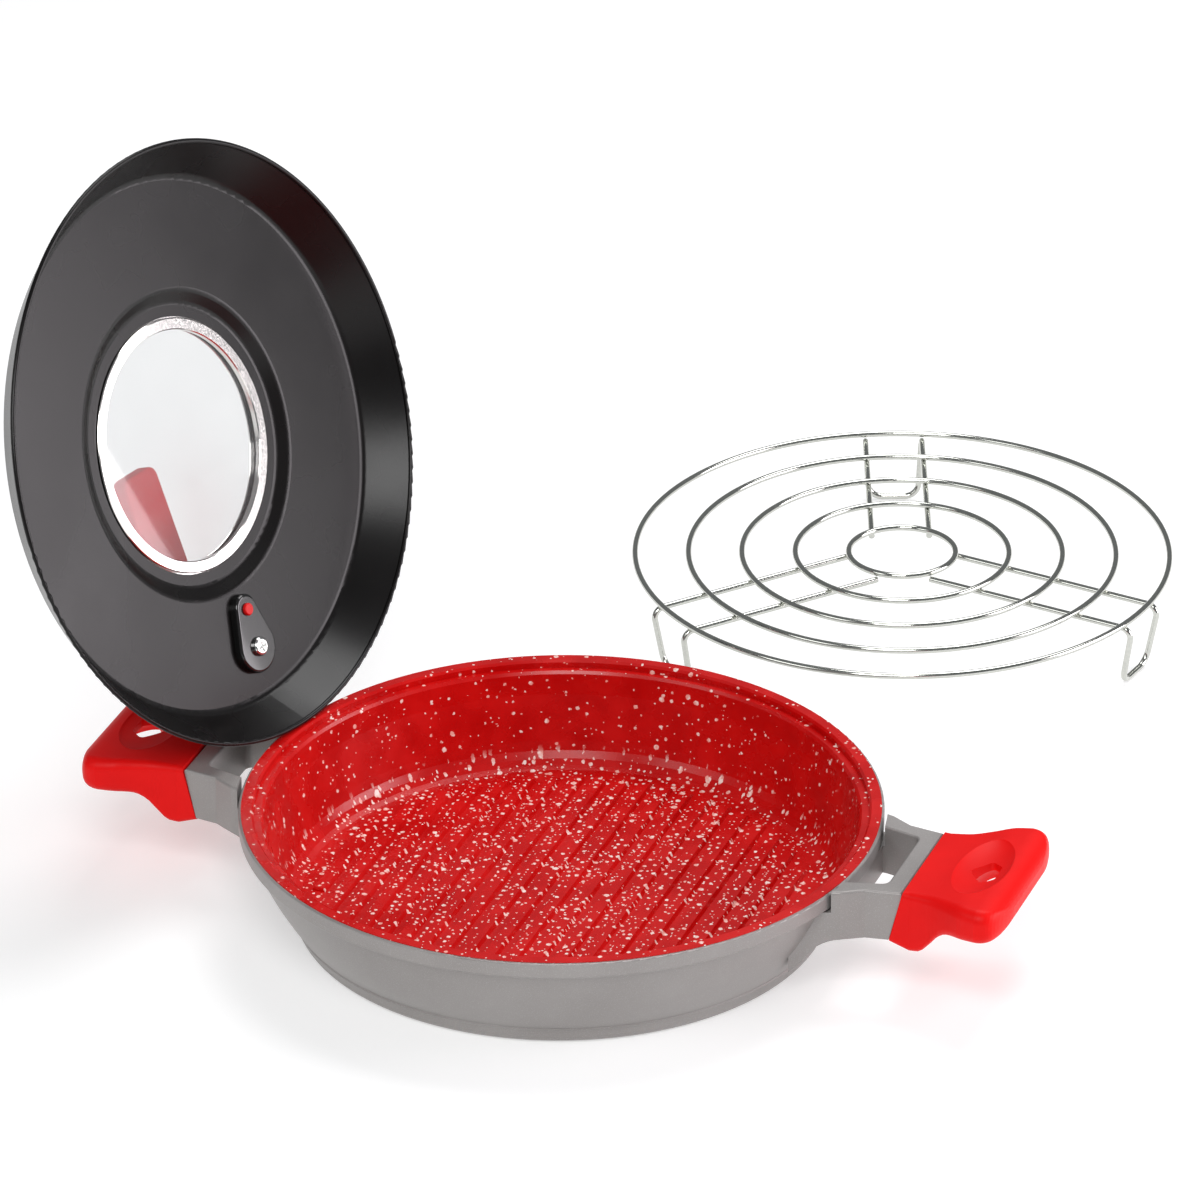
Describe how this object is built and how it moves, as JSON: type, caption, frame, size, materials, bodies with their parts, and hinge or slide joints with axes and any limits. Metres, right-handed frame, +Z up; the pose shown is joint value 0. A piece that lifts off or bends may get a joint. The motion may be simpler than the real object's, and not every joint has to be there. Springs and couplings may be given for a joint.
{
  "type": "grill pan with windowed lid and steaming rack",
  "caption": "Round cast grill pan with side grips, a lift-off lid with a round glass window, and a wire steaming rack that fits inside.",
  "frame": {"origin": "centre of the pan's flat base, on the surface it stands on", "axes": "+Z up; +X toward the free side grip, -X toward the grip the open lid leans over; +Y toward the rack"},
  "size_m": [0.4836, 0.6192, 0.3255],
  "materials": {
    "cast_body": "silver-grey paint on cast metal",
    "speckled_red": "glossy red coating with white speckles",
    "plate_steel": "turned",
    "grip_red": "smooth heat-proof moulding",
    "screw_steel": "polished",
    "lid_black": "satin black",
    "window_clear": "clear toughened glass",
    "ring_steel": "polished",
    "gasket_black": "matte",
    "handle_red": "smooth",
    "plate_black": "glossy",
    "pin_red": "smooth",
    "rack_chrome": "bright plated wire"
  },
  "bodies": {
    "pan": {"pan_body": "cast_body", "pan_coating": "speckled_red", "base_plate": "plate_steel", "grip_right": "grip_red", "grip_left": "grip_red", "grip_screw_right": "screw_steel", "grip_screw_left": "screw_steel"},
    "lid": {"lid_shell": "lid_black", "window_glass": "window_clear", "window_ring": "ring_steel", "window_gasket": "gasket_black", "lid_handle": "handle_red", "handle_seal": "gasket_black", "handle_plate": "plate_black", "handle_screw": "screw_steel", "vent_pin": "pin_red"},
    "rack": {"rack_ring_1": "rack_chrome", "rack_ring_2": "rack_chrome", "rack_ring_3": "rack_chrome", "rack_ring_4": "rack_chrome", "rack_ring_5": "rack_chrome", "rack_leg_1": "rack_chrome", "rack_leg_2": "rack_chrome", "rack_leg_3": "rack_chrome"}
  },
  "joints": [
    {"name": "lid_tilt", "type": "hinge", "parent": "pan", "child": "lid", "pos_m": [-0.14098, 0.03385, 0.05416], "axis": [0.2334, 0.9724, 0], "range_deg": [0, 109.5]},
    {"name": "rack_lift", "type": "slide", "parent": "pan", "child": "rack", "axis": [0, 0, 1], "range_m": [0, 0.08]}
  ]
}
